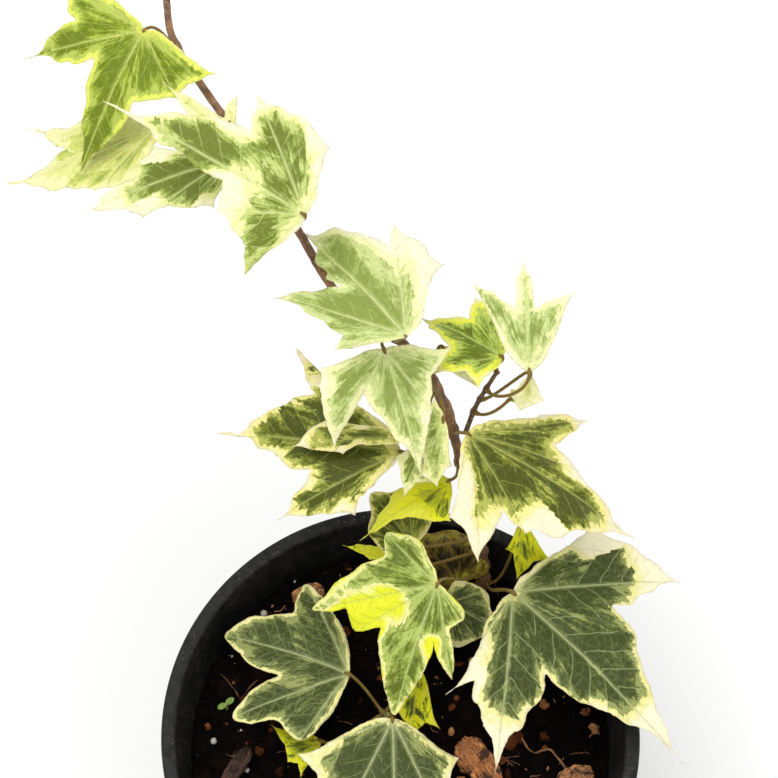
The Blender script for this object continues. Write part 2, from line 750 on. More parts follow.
@dataclass
class Leaf:
    """A leaf. Tips and sinuses are (angle from the midrib, distance from the stalk), and at is
    the point where the stalk meets the blade. The stalk springs from the named stem, joint
    points along its route, and stalk_lean says how far behind and below the blade it swings.
    taper multiplies how far the lobes draw in near their tips, and at 0 or less the tips are
    blunt too. toothed multiplies the height of the teeth. wave, curl and crumple are in mm: how
    far the margin rolls, each tip bends and the whole blade buckles."""

    name: str
    at: Point
    heading: float
    pitch: float
    tips: list[Polar]
    sinuses: list[Polar]
    stem: str
    joint: float
    finish: BladeFinish
    slot: str
    roll: float = 0.0
    arch: float = 0.16
    stalk_radius: float = 0.44
    stalk_lean: tuple[float, float] = (0.30, 0.22)
    wave: float = 1.0
    taper: float = 1.0
    toothed: float = 1.0
    curl: tuple[float, ...] = ()
    crumple: float = 0.0
    thickness: float = 0.34

    CLEARANCE = 0.3
    STALK_STEPS = 28
    STALK_SIDES = 10
    PINCH = 0.105  # how far a lobe's side draws in near its tip, as a share of its length
    SWELL = 0.09  # and how far it bulges near the sinus
    BASE_SWELL = 0.17
    TOOTH_SPACING = 8.0  # mm of a lobe's side to each small tooth
    TOOTH_HEIGHT = 0.06  # as a share of the side's length
    TOOTH_LIMIT = 1.3  # mm

    def reach(self) -> float:
        """The distance from the stalk to the farthest tip."""
        return max(distance for _, distance in self.tips)

    def margin(self, step: float) -> np.ndarray:
        """The blade's margin, counter-clockwise from the stalk.

        Args:
            step: the distance between its points, in mm.

        Returns:
            Its points.
        """
        tips = [self.polar(tip) for tip in self.tips]
        sinuses = [self.polar(sinus) for sinus in self.sinuses]
        stalk = np.zeros(2)
        pinch = self.PINCH * self.taper
        rng = np.random.default_rng(int(self.seed() * 10))
        runs = [self.side(stalk, tips[0], self.BASE_SWELL, pinch, False, step)]
        for tip, sinus, following in zip(tips, sinuses, tips[1:]):
            runs.append(self.notched(self.side(tip, sinus, self.SWELL, pinch, True, step), True, rng))
            runs.append(self.notched(self.side(sinus, following, self.SWELL, pinch, False, step), False, rng))
        runs.append(self.side(tips[-1], stalk, self.BASE_SWELL, pinch, True, step))
        line = np.concatenate(runs)
        fixed = np.array([*tips, stalk] if self.taper > 0 else [stalk])
        gap = np.min(np.linalg.norm(line[:, None] - fixed[None], axis=2), axis=1)
        room = 0.06 * self.reach()
        free = np.clip((gap - 0.3 * room) / (1.2 * room), 0, 1)[:, None]
        for _ in range(round(max(3.0, 1.2 / step)) * (1 if self.taper > 0 else 8)):
            line += 0.5 * free * ((np.roll(line, 1, 0) + np.roll(line, -1, 0)) / 2 - line)
        tangent = np.roll(line, -1, 0) - np.roll(line, 1, 0)
        outward = np.stack([tangent[:, 1], -tangent[:, 0]], 1)
        outward /= np.maximum(np.linalg.norm(outward, axis=1, keepdims=True), 1e-9)
        seed = self.seed()
        wobble = np.array([noise.noise(Vector((x * 0.22, y * 0.22, seed))) * 0.014 * self.reach()
                           + noise.noise(Vector((x * 0.9, y * 0.9, seed))) * 0.005 * self.reach()
                           for x, y in line])
        return line + outward * wobble[:, None] * free

    def seed(self) -> float:
        """A number of the leaf's own, from its name."""
        return (sum(ord(letter) * (i + 1) for i, letter in enumerate(self.name)) % 97) * 3.1

    @staticmethod
    def polar(place: Polar) -> np.ndarray:
        """A point of the blade's plane from its angle and its distance."""
        return np.array([cos(radians(place[0])), sin(radians(place[0]))]) * place[1]

    @staticmethod
    def side(start: np.ndarray, end: np.ndarray, swell: float, pinch: float, tip_first: bool,
             step: float) -> np.ndarray:
        """One side of a lobe: drawn in near the tip and swollen near its foot.

        Args:
            start: where the side starts.
            end: where it ends.
            swell: how far its foot bulges out, as a share of its length.
            pinch: how far it draws in near the tip.
            tip_first: whether the tip is at the start.
            step: the distance between its points, in mm.

        Returns:
            The side's points, without its first.
        """
        chord = end - start
        outward = np.array([chord[1], -chord[0]])
        if tip_first:
            first, second = start + 0.30 * chord - pinch * outward, start + 0.74 * chord + swell * outward
        else:
            first, second = start + 0.26 * chord + swell * outward, start + 0.70 * chord - pinch * outward
        count = max(3, round(float(np.hypot(*chord)) / step))
        t = np.linspace(0, 1, count + 1)[1:, None]
        return (1 - t) ** 3 * start + 3 * (1 - t) ** 2 * t * first + 3 * (1 - t) * t**2 * second + t**3 * end

    def notched(self, line: np.ndarray, tip_first: bool, rng: np.random.Generator) -> np.ndarray:
        """A side with small teeth that lean towards the lobe's tip.

        Args:
            line: the side's points.
            tip_first: whether the tip is at the start.
            rng: the random numbers.

        Returns:
            The points, moved.
        """
        chord = line[-1] - line[0]
        length = float(np.hypot(*chord))
        count = int(min(2, length // self.TOOTH_SPACING))
        part = np.linspace(0, 1, len(line)) if tip_first else np.linspace(1, 0, len(line))
        outward = np.array([chord[1], -chord[0]]) / length
        moved = line.copy()
        for i in range(count):
            crest = 0.36 + 0.34 * i + 0.10 * rng.random()
            tallest = min(self.TOOTH_HEIGHT * length, self.TOOTH_LIMIT) * self.toothed
            height = tallest * (0.5 + 0.7 * rng.random())
            rise = np.where(part < crest, 1 - (crest - part) / 0.07, 1 - (part - crest) / 0.26)
            moved += (np.clip(rise, 0, 1) * height)[:, None] * outward
        return moved

    @staticmethod
    def nearest(points: np.ndarray, starts: np.ndarray, ends: np.ndarray) -> tuple[np.ndarray, np.ndarray]:
        """How near each point comes to each segment.

        Args:
            points: the points.
            starts: where the segments start.
            ends: where they end.

        Returns:
            The distances, and how far along the segment each nearest place is.
        """
        run = ends - starts
        length = np.maximum((run**2).sum(1), 1e-12)
        part = np.clip(((points[:, None] - starts[None]) * run[None]).sum(2) / length, 0, 1)
        gap = points[:, None] - (starts[None] + part[..., None] * run[None])
        return np.sqrt((gap**2).sum(2)), part

    def plane_mesh(self) -> tuple[np.ndarray, np.ndarray, np.ndarray]:
        """The flat blade as even triangles that follow its margin and its main veins.

        Returns:
            Its points, its triangles, and its margin.
        """
        step = min(0.85, max(0.3, self.reach() / 62))
        margin = self.margin(0.75 * step)
        tips = np.array([self.polar(tip) for tip in self.tips])
        ends = np.roll(margin, -1, 0)
        veins = []
        for tip in tips:
            count = max(3, round(float(np.hypot(*tip)) / step))
            veins.append(np.linspace(0, 0.96, count + 1)[1:, None] * tip[None])
        low, high = margin.min(0), margin.max(0)
        rows = np.arange(low[1], high[1], step * 0.866)
        grid = np.concatenate([
            np.arange(low[0] + (i % 2) * step / 2, high[0], step)[:, None] * [1, 0] + [0, y]
            for i, y in enumerate(rows)])
        grid = grid[self.inside(grid, margin)]
        to_margin = self.nearest(grid, margin, ends)[0].min(1)
        to_vein = self.nearest(grid, np.zeros_like(tips), tips)[0].min(1)
        grid = grid[(to_margin > 0.55 * step) & (to_vein > 0.5 * step)]
        origin_index = len(margin) - 1
        points = [margin]
        edges = []
        start = len(margin)
        for vein in veins:
            points.append(vein)
            chain = [origin_index, *range(start, start + len(vein))]
            edges += list(zip(chain, chain[1:]))
            start += len(vein)
        points.append(grid)
        points = np.concatenate(points)
        made = delaunay_2d_cdt([Vector(p) for p in points], edges, [list(range(len(margin)))], 1, 1e-5)
        flat = np.array([tuple(p) for p in made[0]])
        triangles = np.array([list(face) for face in made[2]])
        return flat, triangles, margin

    @staticmethod
    def inside(points: np.ndarray, margin: np.ndarray) -> np.ndarray:
        """Which points lie inside the margin.

        Args:
            points: the points.
            margin: the margin.

        Returns:
            Whether each one does.
        """
        x, y = points[:, 0, None], points[:, 1, None]
        x0, y0 = margin[None, :, 0], margin[None, :, 1]
        x1, y1 = np.roll(margin[:, 0], -1)[None], np.roll(margin[:, 1], -1)[None]
        rise = np.where(y1 == y0, 1e-12, y1 - y0)
        crosses = ((y0 > y) != (y1 > y)) & (x < (x1 - x0) * (y - y0) / rise + x0)
        return crosses.sum(1) % 2 == 1

    def fields(self, flat: np.ndarray, margin: np.ndarray) -> dict[str, np.ndarray]:
        """What the shape and the material need to know at each point of the flat blade.

        Args:
            flat: the points.
            margin: the blade's margin.

        Returns:
            For each name, a value or a vector a point.
        """
        tips = np.array([self.polar(tip) for tip in self.tips])
        edge = self.nearest(flat, margin, np.roll(margin, -1, 0))[0].min(1)
        gaps, parts = self.nearest(flat, np.zeros_like(tips), tips)
        lobe = gaps.argmin(1)
        rows = np.arange(len(flat))
        gap, part = gaps[rows, lobe], parts[rows, lobe]
        others = gaps.copy()
        others[rows, lobe] = np.inf
        second = others.min(1) if len(tips) > 1 else gap + 9
        lengths = np.linalg.norm(tips, axis=1)
        reach = self.reach()
        width = (0.10 + (0.18 + 0.26 * lengths[lobe] / reach) * (1 - part)) * min(1.0, 0.4 + reach / 60)
        distance = np.linalg.norm(flat, axis=1)
        angle = np.degrees(np.arctan2(flat[:, 1], flat[:, 0]))
        spacing = max(1.6, 0.10 * reach)
        tip = tips[lobe] / lengths[lobe, None]
        turned = tip[:, 0] * flat[:, 1] - tip[:, 1] * flat[:, 0]
        rib = (distance - 1.05 * gap) / spacing + 0.25 * np.clip(turned, -1, 1) + 20 + self.seed()
        level = (np.minimum(edge, 9.0) - self.finish.margin) / self.finish.grade
        tipward = (self.finish.heart - part) * lengths[lobe] / (1.2 * self.finish.grade)
        level = np.minimum(np.minimum(level, tipward), 2.6)
        for spot_angle, spot_distance, radius, steps in self.finish.spots:
            centre = self.polar((spot_angle, spot_distance))
            off = np.linalg.norm(flat - centre, axis=1)
            level += steps * np.exp(-((off / radius) ** 2))
        return {
            "edge": edge, "gap": gap, "part": part, "lobe": lobe, "distance": distance, "angle": angle,
            "vein": gap / width, "rib": rib, "turned": turned, "level": level, "width": width,
            "lamina": np.clip((second - gap) / 1.2, 0, 1) * np.clip(edge / 1.6 - 0.15, 0, 1),
            "plane": np.stack([flat[:, 0], flat[:, 1], 0 * edge], 1),
            "teeth": np.stack([0.7 * (distance - 1.05 * gap), 0.28 * (distance + gap), turned * 0.2], 1),
            "flow": np.stack([angle * 0.55, distance * 0.36, 0 * edge], 1),
        }

    def relief(self, flat: np.ndarray, margin: np.ndarray, known: dict[str, np.ndarray]) -> np.ndarray:
        """How far each point of the blade rises out of its plane.

        Args:
            flat: the points.
            margin: the blade's margin.
            known: what fields gives for the points.

        Returns:
            A height in mm a point.
        """
        reach = self.reach()
        seed = self.seed()
        turns = np.degrees(np.arctan2(margin[:, 1], margin[:, 0]))
        radii = np.linalg.norm(margin, axis=1)
        order = np.argsort(turns)
        grid = np.arange(-180.0, 181.0, 2.0)
        rough = np.interp(grid, turns[order], radii[order])
        kernel = np.exp(-((np.arange(-8, 9) * 2.0 / 9.0) ** 2))
        smooth = np.convolve(np.pad(rough, 8, mode="edge"), kernel / kernel.sum(), mode="valid")
        out = known["distance"] / np.maximum(np.interp(known["angle"], grid, smooth), 1e-3)
        rise = self.arch * known["distance"] * (1 - np.minimum(out, 1.25))
        gap = known["gap"]
        rise += 0.26 * (np.sqrt(gap**2 + 0.35) - 0.59) * np.exp(-gap / (0.35 * reach))
        rise -= 0.3 * np.exp(-((gap / 0.55) ** 2)) * (1 - known["part"])
        size = min(1.0, reach / 45)
        edgeward = np.clip(1 - known["edge"] / (0.16 * reach), 0, 1) ** 2
        for i, (x, y) in enumerate(flat):
            broad = noise.noise(Vector((x * 0.055, y * 0.055, seed)))
            ripple = noise.noise(Vector((x * 0.16, y * 0.16, seed + 7)))
            quilt = noise.noise(Vector((x * 0.45, y * 0.45, seed + 3)))
            rise[i] += size * self.wave * (1.5 * broad * out[i] + 1.3 * ripple * edgeward[i]) + 0.16 * quilt
            if self.crumple:
                rise[i] += self.crumple * noise.noise(Vector((x * 0.3, y * 0.3, seed + 9)))
        for number, bend in enumerate(self.curl):
            near = (known["lobe"] == number) * np.clip((known["part"] - 0.55) / 0.45, 0, 1) ** 2
            rise += bend * near
        return rise

    def turn(self) -> Matrix:
        """The blade's attitude."""
        return Euler((radians(self.roll), radians(-self.pitch), radians(self.heading))).to_matrix()

    def blade(self) -> tuple[np.ndarray, list[list[int]], dict[str, np.ndarray]]:
        """The blade as a thin closed shell, ribbed below along its veins.

        Returns:
            Its vertices in mm, its faces, and the values of its vertices by name.
        """
        flat, triangles, margin = self.plane_mesh()
        known = self.fields(flat, margin)
        top = np.column_stack([flat, self.relief(flat, margin, known)])
        corners = top[triangles]
        facing = np.cross(corners[:, 1] - corners[:, 0], corners[:, 2] - corners[:, 0])
        if facing[:, 2].sum() < 0:
            triangles = triangles[:, ::-1]
            facing = -facing
        normals = np.zeros_like(top)
        for i in range(3):
            np.add.at(normals, triangles[:, i], facing)
        normals /= np.maximum(np.linalg.norm(normals, axis=1, keepdims=True), 1e-12)
        thin = self.thickness * np.clip(0.35 + known["edge"] / 0.8, 0.35, 1.0)
        rib = 0.55 * known["width"] * np.exp(-((known["gap"] / np.maximum(known["width"], 0.1)) ** 2))
        below = top - normals * (thin + rib)[:, None]
        count = len(top)
        edges = np.concatenate([triangles[:, [0, 1]], triangles[:, [1, 2]], triangles[:, [2, 0]]])
        pairs = {(int(a), int(b)) for a, b in edges}
        skirt = [[b, a, a + count, b + count] for a, b in sorted(pairs) if (b, a) not in pairs]
        faces = triangles.tolist() + (triangles[:, ::-1] + count).tolist() + skirt
        turn = np.array(self.turn())
        points = np.concatenate([top, below]) @ turn.T + np.array(self.at)
        names = ("edge", "vein", "rib", "turned", "level", "lamina", "plane", "flow", "teeth")
        values = {name: np.concatenate([known[name], known[name]]) for name in names}
        values["under"] = np.repeat([0.0, 1.0], count)
        values["stalk"] = np.zeros(2 * count)
        return points, faces, values

    def stalk(self, stems: dict[str, Stem]) -> Surface:
        """The stalk, from the stem out and up and into the blade, thicker at both ends.

        Args:
            stems: the stems by name.

        Returns:
            Its surface.
        """
        stem = stems[self.stem]
        root = point_on(stem.points, self.joint)
        end = Vector(self.at)
        turn = self.turn()
        midrib, normal = turn @ Vector((1, 0, 0)), turn @ Vector((0, 0, 1))
        run = (point_on(stem.points, self.joint + 0.1) - point_on(stem.points, self.joint - 0.1)).normalized()
        away = run.cross((end - root).cross(run)).normalized()
        start = root + away * (stem.radius + self.CLEARANCE + 0.3 * self.stalk_radius)
        length = (end - start).length
        corners = [start, start + (away + Vector((0, 0, 0.3))).normalized() * length * 0.24,
                   end - (midrib * self.stalk_lean[0] + normal * self.stalk_lean[1]) * length, end]
        line = [root + away * 0.4 * stem.radius]
        line += [bezier(corners, i / self.STALK_STEPS) for i in range(self.STALK_STEPS + 1)]
        line.append(end + midrib * 1.2 - normal * 0.35)
        radii = []
        for i in range(len(line)):
            part = i / (len(line) - 1)
            at_stem, at_blade = 0.75 * max(0.0, 1 - part * 9), 0.35 * max(0.0, part * 8 - 7)
            radii.append(self.stalk_radius * (0.92 + at_stem + at_blade))
        radii[-1] *= 0.6
        return Rod(line, radii, self.STALK_SIDES).mesh()

    def build(self, place: Frame, stems: dict[str, Stem]) -> bpy.types.Object:
        """Makes the leaf: its blade and its stalk, one piece.

        Args:
            place: the frame.
            stems: the stems by name.

        Returns:
            The leaf, which stands for the CAD node of its name.
        """
        points, faces, values = self.blade()
        rod, rod_faces, _ = self.stalk(stems)
        faces += [[i + len(points) for i in face] for face in rod_faces]
        piece = new_piece(self.name + "_blade", np.concatenate([points, rod]), faces, place)
        for name, value in values.items():
            pad = np.zeros((len(rod), *value.shape[1:])) + (1.0 if name == "stalk" else 0.0)
            if name in ("edge", "vein"):
                pad += 9.0
            store(piece, name, np.concatenate([value, pad]))
        number = int(self.seed())
        return dress(piece, self.finish.material(self.name + " blade", number), self.slot, self.name)


# The pot and what is in it


def turned(name: str, profile: Sequence[tuple[float, float]], sides: int, place: Frame) -> bpy.types.Object:
    """A turned piece, extruded ring by ring from one end of its profile to the other.

    Args:
        name: the piece's name.
        profile: (radius, height) of each ring, in mm, from one flat end to the other.
        sides: how many sides a ring has.
        place: the frame.

    Returns:
        The piece, closed at both ends.
    """
    def centre(height: float) -> Vector:
        """The point of the axis at a height."""
        return place.origin + Vector((0, 0, height * place.unit))

    deselect_all()
    radius, height = profile[0]
    bpy.ops.mesh.primitive_circle_add(
        vertices=sides, radius=radius * place.unit, fill_type="NGON", location=centre(height))
    piece = bpy.context.object
    piece.name = piece.data.name = name
    bpy.ops.object.mode_set(mode="EDIT")
    bpy.ops.mesh.select_all(action="SELECT")
    for wide, high in profile[1:]:
        bpy.ops.mesh.extrude_region_move(
            TRANSFORM_OT_translate={"value": (0, 0, (high - height) * place.unit)})
        bpy.ops.transform.resize(value=(wide / radius, wide / radius, 1), center_override=centre(high))
        radius, height = wide, high
    bpy.ops.mesh.select_all(action="SELECT")
    bpy.ops.mesh.normals_make_consistent(inside=False)
    bpy.ops.object.mode_set(mode="OBJECT")
    bpy.ops.object.transform_apply(location=True, rotation=True, scale=True)
    piece.data.shade_smooth()
    return piece


def apply_modifier(piece: bpy.types.Object, kind: str, **settings: object) -> None:
    """Adds a modifier to a piece and applies it.

    Args:
        piece: the piece.
        kind: the modifier's type.
        settings: its options.
    """
    deselect_all()
    bpy.context.view_layer.objects.active = piece
    piece.select_set(True)
    modifier = piece.modifiers.new(kind.lower(), kind)
    for name, value in settings.items():
        setattr(modifier, name, value)
    bpy.ops.object.modifier_apply(modifier=modifier.name)


@dataclass
class Pot:
    """The nursery pot: a tapered thin shell with a collar, a lip and drain holes."""

    finish: PlasticFinish = PlasticFinish()
    height: float = 105.0
    base_radius: float = 42.0
    wall: float = 1.3
    floor: float = 2.2
    lip: float = 3.8
    collar: float = 11.0
    collar_step: float = 1.4
    rounding: float = 0.9
    holes: int = 8
    hole_radius: float = 1.8
    hole_circle: float = 30.0
    sides: int = 192

    def inner(self, height: float) -> float:
        """The radius of the inner wall at a height."""
        at_top, at_floor = POT_RIM_MM - self.lip, self.base_radius - self.wall
        return at_floor + (at_top - at_floor) * (height - self.floor) / (self.height - self.floor)

    @staticmethod
    def corner(middle: tuple[float, float], radius: float, start: float, end: float) -> list[Polar]:
        """Points round a corner, about a middle, from one angle to another."""
        turns = [radians(start + (end - start) * i / 5) for i in range(6)]
        return [(middle[0] + radius * cos(turn), middle[1] + radius * sin(turn)) for turn in turns]

    def profile(self) -> list[tuple[float, float]]:
        """The rings of the pot, from the inner floor up, over the lip and down to the base.

        Returns:
            The rings.
        """
        soft, top, under = self.rounding, self.height, self.height - self.collar
        rings = [(2.0, self.floor), (self.inner(self.floor) - soft, self.floor)]
        rings += [(self.inner(high), high) for high in np.linspace(self.floor + soft, top - 2.2, 14)]
        rings += self.corner((self.inner(top) + soft, top - soft), soft, 180, 90)
        rings += [(POT_RIM_MM - 2.2, top)]
        rings += self.corner((POT_RIM_MM - soft, top - soft), soft, 90, 0)
        rings += [(POT_RIM_MM - 0.3 * soft, top - 0.5 * self.collar)]
        rings += self.corner((POT_RIM_MM - 1.3 * soft, under + 0.7 * soft), 0.7 * soft, 0, -90)
        foot = self.inner(under) + self.wall
        rings += [(foot + 0.3, under), (foot, under - 0.3), (foot, under - self.collar_step)]
        slope = self.base_radius - foot
        rings += [(foot + slope * share, (under - self.collar_step) * (1 - share) + 3.0 * share)
                  for share in np.linspace(0.07, 1, 14)]
        rings += [(self.base_radius, 1.2), (self.base_radius - 0.3, 0.4), (self.base_radius - 1.0, 0.0)]
        rings += [(self.base_radius - 3.0, 0.0), (self.base_radius - 3.6, 0.5), (2.0, 0.5)]
        return rings

    def build(self, place: Frame) -> bpy.types.Object:
        """Makes the pot and cuts its drain holes.

        Args:
            place: the frame that it is set in.

        Returns:
            The piece.
        """
        piece = turned("pot_shell", self.profile(), self.sides, place)
        deselect_all()
        drills = []
        for i in range(self.holes):
            turn = tau * i / self.holes
            centre = Vector((cos(turn), sin(turn), 0)) * self.hole_circle * place.unit
            bpy.ops.mesh.primitive_cylinder_add(
                vertices=32, radius=self.hole_radius * place.unit, depth=4 * self.floor * place.unit,
                location=place.origin + centre)
            drills.append(bpy.context.object)
        for drill in drills:
            apply_modifier(piece, "BOOLEAN", operation="DIFFERENCE", object=drill)
            bpy.data.objects.remove(drill, do_unlink=True)
        deselect_all()
        piece.select_set(True)
        bpy.context.view_layer.objects.active = piece
        bpy.ops.object.shade_smooth_by_angle(angle=radians(40))
        return dress(piece, self.finish.material("black plastic"), "pot_plastic", "pot")


@dataclass
class Soil:
    """The potting mix: a lumpy surface with loose crumbs, white grains and wood fibres on it."""

    pot: Pot
    level: float = 91.0
    dip: float = 1.4
    gap: float = 0.3
    lumps: float = 1.5  # how far the surface rises and falls
    rings: int = 64
    sides: int = 260
    crumbs: int = 3200
    grains: tuple[Point, ...] = ((-48, 1, 1.3), (-39, -7, 1.0), (-36, 36, 1.5), (12, 44, 1.0),
                                 (35, 20, 0.9), (-12, -36, 1.2), (22, -38, 1.0), (-30, -28, 0.9),
                                 (47, 8, 1.1), (-20, 30, 0.9), (5, -46, 0.8), (38, -30, 1.0),
                                 (-53, 14, 0.6), (-50, -14, 0.7), (-44, 24, 0.6), (-41, 4, 0.5),
                                 (-28, 45, 0.6), (14, -12, 0.7), (20, -4, 0.5), (31, -12, 0.6),
                                 (9, -6, 0.6), (-56, 2, 0.5), (-46, -20, 0.5), (28, 30, 0.6))
    fibres: int = 90

    CRUMB_SEED = 21
    GRAIN_SEED = 5
    FIBRE_SEED = 77

    def radius(self) -> float:
        """The radius of the surface."""
        return self.pot.inner(self.level - self.dip) - self.gap

    def surface(self, x: float, y: float) -> float:
        """The height of the surface at a place.

        Args:
            x: how far right it is, in mm.
            y: how far back it is, in mm.

        Returns:
            The height, in mm.
        """
        share = min(1.0, (x * x + y * y) ** 0.5 / self.radius())
        rough = (noise.noise(Vector((x * 0.09, y * 0.09, 3.0))) * 0.8
                 + noise.noise(Vector((x * 0.26, y * 0.26, 8.0))) * 0.55
                 + noise.noise(Vector((x * 0.75, y * 0.75, 5.0))) * 0.32
                 + noise.noise(Vector((x * 1.7, y * 1.7, 1.0))) * 0.16)
        return self.level - self.dip * share**4 + self.lumps * rough

    def ground(self, place: Frame) -> bpy.types.Object:
        """The body of the soil, with its lumpy top.

        Args:
            place: the frame that it is set in.

        Returns:
            The piece.
        """
        low = self.pot.floor + self.pot.rounding + self.gap
        foot = self.pot.inner(low) - self.gap
        top = self.level - self.dip
        profile = [(2.0, low), (foot - 1.0, low), (foot, low + 1.0)]
        profile += [(self.pot.inner(high) - self.gap, high) for high in np.linspace(low + 6, top - 2, 10)]
        profile += [(self.radius() * (1 - i / self.rings), top) for i in range(self.rings)]
        piece = turned("soil_ground", profile, self.sides, place)
        for vertex in piece.data.vertices:
            x, y, z = (vertex.co - place.origin) / place.unit
            if z > top - 0.01:
                edge = min(1.0, (self.radius() - (x * x + y * y) ** 0.5) / 1.5)
                height = self.surface(x, y) * edge + (top - 0.8) * (1 - edge)
                vertex.co.z = place.origin.z + height * place.unit
        store(piece, "tint", np.full(len(piece.data.vertices), 0.3))
        return dress(piece, EarthFinish().material("earth"), "soil", "soil")

    @staticmethod
    def lump(fineness: int) -> tuple[np.ndarray, list[list[int]]]:
        """A round lump, one across.

        Args:
            fineness: how finely it is divided.

        Returns:
            Its vertices and its faces.
        """
        deselect_all()
        bpy.ops.mesh.primitive_ico_sphere_add(subdivisions=fineness, radius=0.5, location=(0, 0, 0))
        lump = bpy.context.object
        points = np.array([tuple(vertex.co) for vertex in lump.data.vertices])
        faces = [list(polygon.vertices) for polygon in lump.data.polygons]
        bpy.data.objects.remove(lump, do_unlink=True)
        return points, faces

    def scatter(self, rng: np.random.Generator, reach: float) -> tuple[float, float]:
        """A random place on the surface."""
        turn, out = rng.uniform(0, tau), reach * rng.uniform() ** 0.5
        return out * cos(turn), out * sin(turn)

    def litter(self, place: Frame) -> bpy.types.Object:
        """The loose crumbs: broken, angular and half sunk.

        Args:
            place: the frame that it is set in.

        Returns:
            The piece.
        """
        rng = np.random.default_rng(self.CRUMB_SEED)
        points, faces = self.lump(2)
        meshes = []
        for _ in range(self.crumbs):
            x, y = self.scatter(rng, self.radius() - 1.2)
            size = 0.45 + 3.2 * rng.uniform() ** 3.2
            stretch = rng.uniform((0.7, 0.6, 0.4), (1.4, 1.0, 0.8)) * size
            turn = np.array(Euler(rng.uniform(0, tau, 3)).to_matrix())
            broken = points * (1 + 0.55 * (rng.uniform(size=(len(points), 1)) - 0.5))
            centre = np.array((x, y, self.surface(x, y) + 0.12 * size))
            meshes.append(((broken * stretch) @ turn.T + centre, faces,
                           np.full(len(points), rng.uniform())))
        everything, all_faces, tints = merged(meshes)
        piece = new_piece("soil_crumbs", everything, all_faces, place)
        store(piece, "tint", tints)
        piece.data.shade_flat()
        return dress(piece, EarthFinish(crumb=tone(24, 14, 9)).material("crumbs"), "soil")

    def perlite(self, place: Frame) -> bpy.types.Object:
        """The white grains.

        Args:
            place: the frame that it is set in.

        Returns:
            The piece.
        """
        rng = np.random.default_rng(self.GRAIN_SEED)
        points, faces = self.lump(2)
        meshes = []
        for x, y, size in self.grains:
            broken = points * (1 + 0.35 * (rng.uniform(size=(len(points), 1)) - 0.5))
            centre = np.array((x, y, self.surface(x, y) + 0.3 * size))
            meshes.append((broken * size * 1.3 + centre, faces, np.zeros(len(points))))
        everything, all_faces, _ = merged(meshes)
        piece = new_piece("perlite_grains", everything, all_faces, place)
        return dress(piece, StoneFinish().material("perlite"), "bark_chip")

    def hairs(self, place: Frame) -> bpy.types.Object:
        """Thin wood fibres and root threads that lie on the crumbs.

        Args:
            place: the frame that it is set in.

        Returns:
            The piece.
        """
        rng = np.random.default_rng(self.FIBRE_SEED)
        rods = []
        for i in range(self.fibres):
            x, y = self.scatter(rng, self.radius() - 5)
            heading, length = rng.uniform(0, tau), 2.5 + 9 * rng.uniform() ** 2
            bend = rng.uniform(-0.16, 0.16)
            line = []
            for j in range(9):
                if (x * x + y * y) ** 0.5 > self.radius() - 1:
                    break
                line.append(Vector((x, y, self.surface(x, y) + 0.45 + 0.35 * sin(j * 0.8 + i))))
                x += cos(heading) * length / 8
                y += sin(heading) * length / 8
                heading += bend + rng.uniform(-0.2, 0.2)
            if len(line) > 3:
                thick = rng.uniform(0.07, 0.2)
                ends = (0, len(line) - 1)
                radii = [thick * (0.7 if k in ends else 1) for k in range(len(line))]
                rods.append(Rod(line, radii, 5).mesh())
        thread = [Vector((27 + 1.9 * k, 3 - 1.05 * k + 1.5 * sin(k * 1.3), 0)) for k in range(9)]
        for point in thread:
            point.z = self.surface(point.x, point.y) + 0.9
        smooth = [point_on(thread, 8 * k / 48) for k in range(49)]
        rods.append(Rod(smooth, [0.32] * 49, 8).mesh())
        points, faces, along = merged(rods)
        piece = new_piece("wood_fibres", points, faces, place)
        store(piece, "along", along)
        return dress(piece, WoodFinish(tone(190, 132, 88), tone(120, 76, 50)).material("fibre"), "bark_chip")


@dataclass
class BarkChip:
    """A loose chip of bark in the box of its CAD solid: split along its length and frayed."""

    number: int
    turn: float
    size: Point
    finish: WoodFinish
    cuts: int = 18

    def build(self, place: Frame) -> bpy.types.Object:
        """Makes the chip from a cut-up block, worn and split by moving its vertices.

        Args:
            place: the frame that it is set in.

        Returns:
            The piece.
        """
        node = f"bark_chip_{self.number}"
        low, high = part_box(node)
        middle = (low + high) / 2
        deselect_all()
        bpy.ops.mesh.primitive_cube_add(size=1.0, location=(0, 0, 0))
        piece = bpy.context.object
        piece.name = piece.data.name = node + "_wood"
        bpy.ops.object.mode_set(mode="EDIT")
        bpy.ops.mesh.select_all(action="SELECT")
        bpy.ops.mesh.subdivide(number_cuts=self.cuts)
        bpy.ops.object.mode_set(mode="OBJECT")
        apply_modifier(piece, "BEVEL", width=0.08, segments=2, limit_method="ANGLE")
        along = []
        turn = Matrix.Rotation(radians(self.turn), 3, "Z")
        for vertex in piece.data.vertices:
            x, y, z = vertex.co
            narrow = 1 - 0.5 * (2 * abs(x)) ** 4
            grooves = noise.noise(Vector((x * 1.6, y * 13.0, z * 13.0 + self.number * 4)))
            ragged = noise.noise(Vector((x * 4.0, y * 4.0, z * 4.0 + self.number)))
            swell = 1 + 0.34 * grooves + 0.34 * ragged
            bow = 0.18 * (0.25 - x * x)
            fray = 0.22 * noise.noise(Vector((0.3 * self.number, y * 11, z * 11))) * (2 * abs(x)) ** 2
            point = Vector((x * (1 + fray), y * narrow * swell, z * narrow * swell + bow))
            along.append((y * self.size[1], x * self.size[0], z * self.size[2]))
            point = Vector(a * b for a, b in zip(point, self.size))
            vertex.co = middle + turn @ point * place.unit
        store(piece, "along", np.array(along))
        piece.data.shade_smooth()
        return dress(piece, self.finish.material(node + " wood"), "bark_chip", node)


